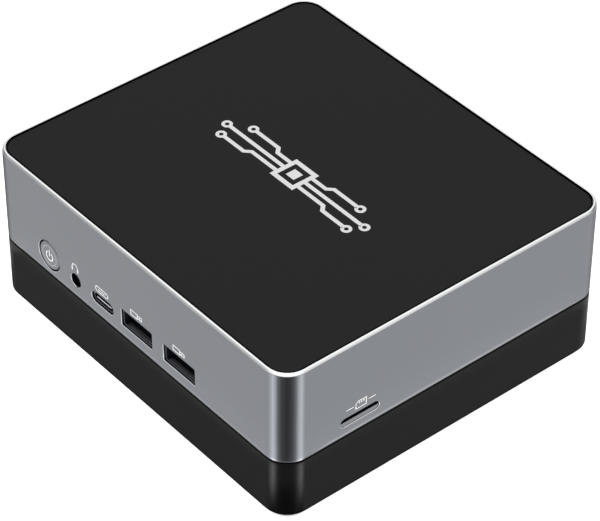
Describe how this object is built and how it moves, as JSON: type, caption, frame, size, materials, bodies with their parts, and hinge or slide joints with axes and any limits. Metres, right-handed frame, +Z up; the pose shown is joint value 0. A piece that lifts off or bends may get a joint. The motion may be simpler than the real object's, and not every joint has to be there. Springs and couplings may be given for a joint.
{
  "type": "mini desktop computer",
  "caption": "Compact square desktop computer: silver band with sockets and a power button, black lid and base, board, fan and drive inside.",
  "frame": {"origin": "middle of the footprint, on the surface that the feet stand on", "axes": "+Z up, -Y the front with the power button, +X to the right seen from the front"},
  "size_m": [0.128, 0.1146, 0.052],
  "materials": {
    "shell_silver": "fine satin paint on metal, bright chamfered rim",
    "cover_black": "smooth matt black",
    "foot_rubber": "matt",
    "socket_steel": "bright tinned sheet",
    "socket_insulator": "moulded, near black",
    "screw_steel": "zinc plated",
    "circuit_board": "green solder mask",
    "component_black": "moulded black",
    "heatsink_aluminium": "milled fins",
    "drive_metal": "pressed sheet",
    "antenna_foil": "amber film",
    "lead_black": "satin jacket"
  },
  "bodies": {
    "chassis": {"middle_shell": "shell_silver", "top_lid": "cover_black", "base_cover": "cover_black", "foot_front_left": "foot_rubber", "foot_front_right": "foot_rubber", "foot_rear_left": "foot_rubber", "foot_rear_right": "foot_rubber", "base_screw_1": "screw_steel", "base_screw_2": "screw_steel", "base_screw_3": "screw_steel", "base_screw_4": "screw_steel", "power_switch": "component_black", "audio_jack": "socket_insulator", "usb_c_shell": "socket_steel", "usb_c_tongue": "socket_insulator", "usb_a_front_left_shell": "socket_steel", "usb_a_front_left_tongue": "socket_insulator", "usb_a_front_right_shell": "socket_steel", "usb_a_front_right_tongue": "socket_insulator", "card_socket": "socket_steel", "dc_jack": "socket_insulator", "dc_pin": "socket_steel", "hdmi_left_shell": "socket_steel", "hdmi_left_tongue": "socket_insulator", "hdmi_right_shell": "socket_steel", "hdmi_right_tongue": "socket_insulator", "lan_jack": "socket_steel", "usb_a_rear_left_shell": "socket_steel", "usb_a_rear_left_tongue": "socket_insulator", "usb_a_rear_right_shell": "socket_steel", "usb_a_rear_right_tongue": "socket_insulator", "mainboard": "circuit_board", "cpu_package": "component_black", "memory_socket": "socket_insulator", "memory_module": "circuit_board", "ssd_socket": "socket_insulator", "ssd_card": "circuit_board", "ssd_screw": "screw_steel", "wifi_module": "drive_metal", "antenna_left": "antenna_foil", "antenna_right": "antenna_foil", "antenna_lead_left": "lead_black", "antenna_lead_right": "lead_black", "rtc_cell": "screw_steel", "rtc_holder": "socket_insulator", "board_screw_left": "screw_steel", "board_screw_right": "screw_steel", "heatsink": "heatsink_aluminium", "cooler_screw_front": "screw_steel", "cooler_screw_rear": "screw_steel", "fan_housing": "component_black", "fan_lead": "lead_black", "drive": "drive_metal", "drive_bracket": "drive_metal", "drive_ribbon": "antenna_foil"},
    "power_button": {"power_button": "shell_silver"},
    "switch_plunger": {"switch_plunger": "component_black"},
    "fan_rotor": {"fan_rotor": "component_black"},
    "memory_latch_left": {"memory_latch_left": "screw_steel"},
    "memory_latch_right": {"memory_latch_right": "screw_steel"}
  },
  "joints": [
    {"name": "power_button_press", "type": "slide", "parent": "chassis", "child": "power_button", "axis": [0, 1, 0], "range_m": [0, 0.0005], "stiffness_N_per_m": 2000, "springref_m": -0.0005},
    {"name": "switch_plunger_press", "type": "slide", "parent": "chassis", "child": "switch_plunger", "axis": [0, 1, 0], "range_m": [0, 0.0005]},
    {"name": "fan_spin", "type": "hinge", "parent": "chassis", "child": "fan_rotor", "pos_m": [0, 0.004, 0.0404], "axis": [0, 0, 1], "continuous": true},
    {"name": "memory_latch_left_open", "type": "hinge", "parent": "chassis", "child": "memory_latch_left", "pos_m": [-0.0351, 0.0174, 0.0201], "axis": [0, 0, -1], "range_deg": [0, 8], "stiffness_Nm_per_rad": 0.05},
    {"name": "memory_latch_right_open", "type": "hinge", "parent": "chassis", "child": "memory_latch_right", "pos_m": [0.0351, 0.0174, 0.0201], "axis": [0, 0, 1], "range_deg": [0, 8], "stiffness_Nm_per_rad": 0.05}
  ],
  "couplings": [
    {"joint": "switch_plunger_press", "follows": "power_button_press", "ratio": 1}
  ]
}
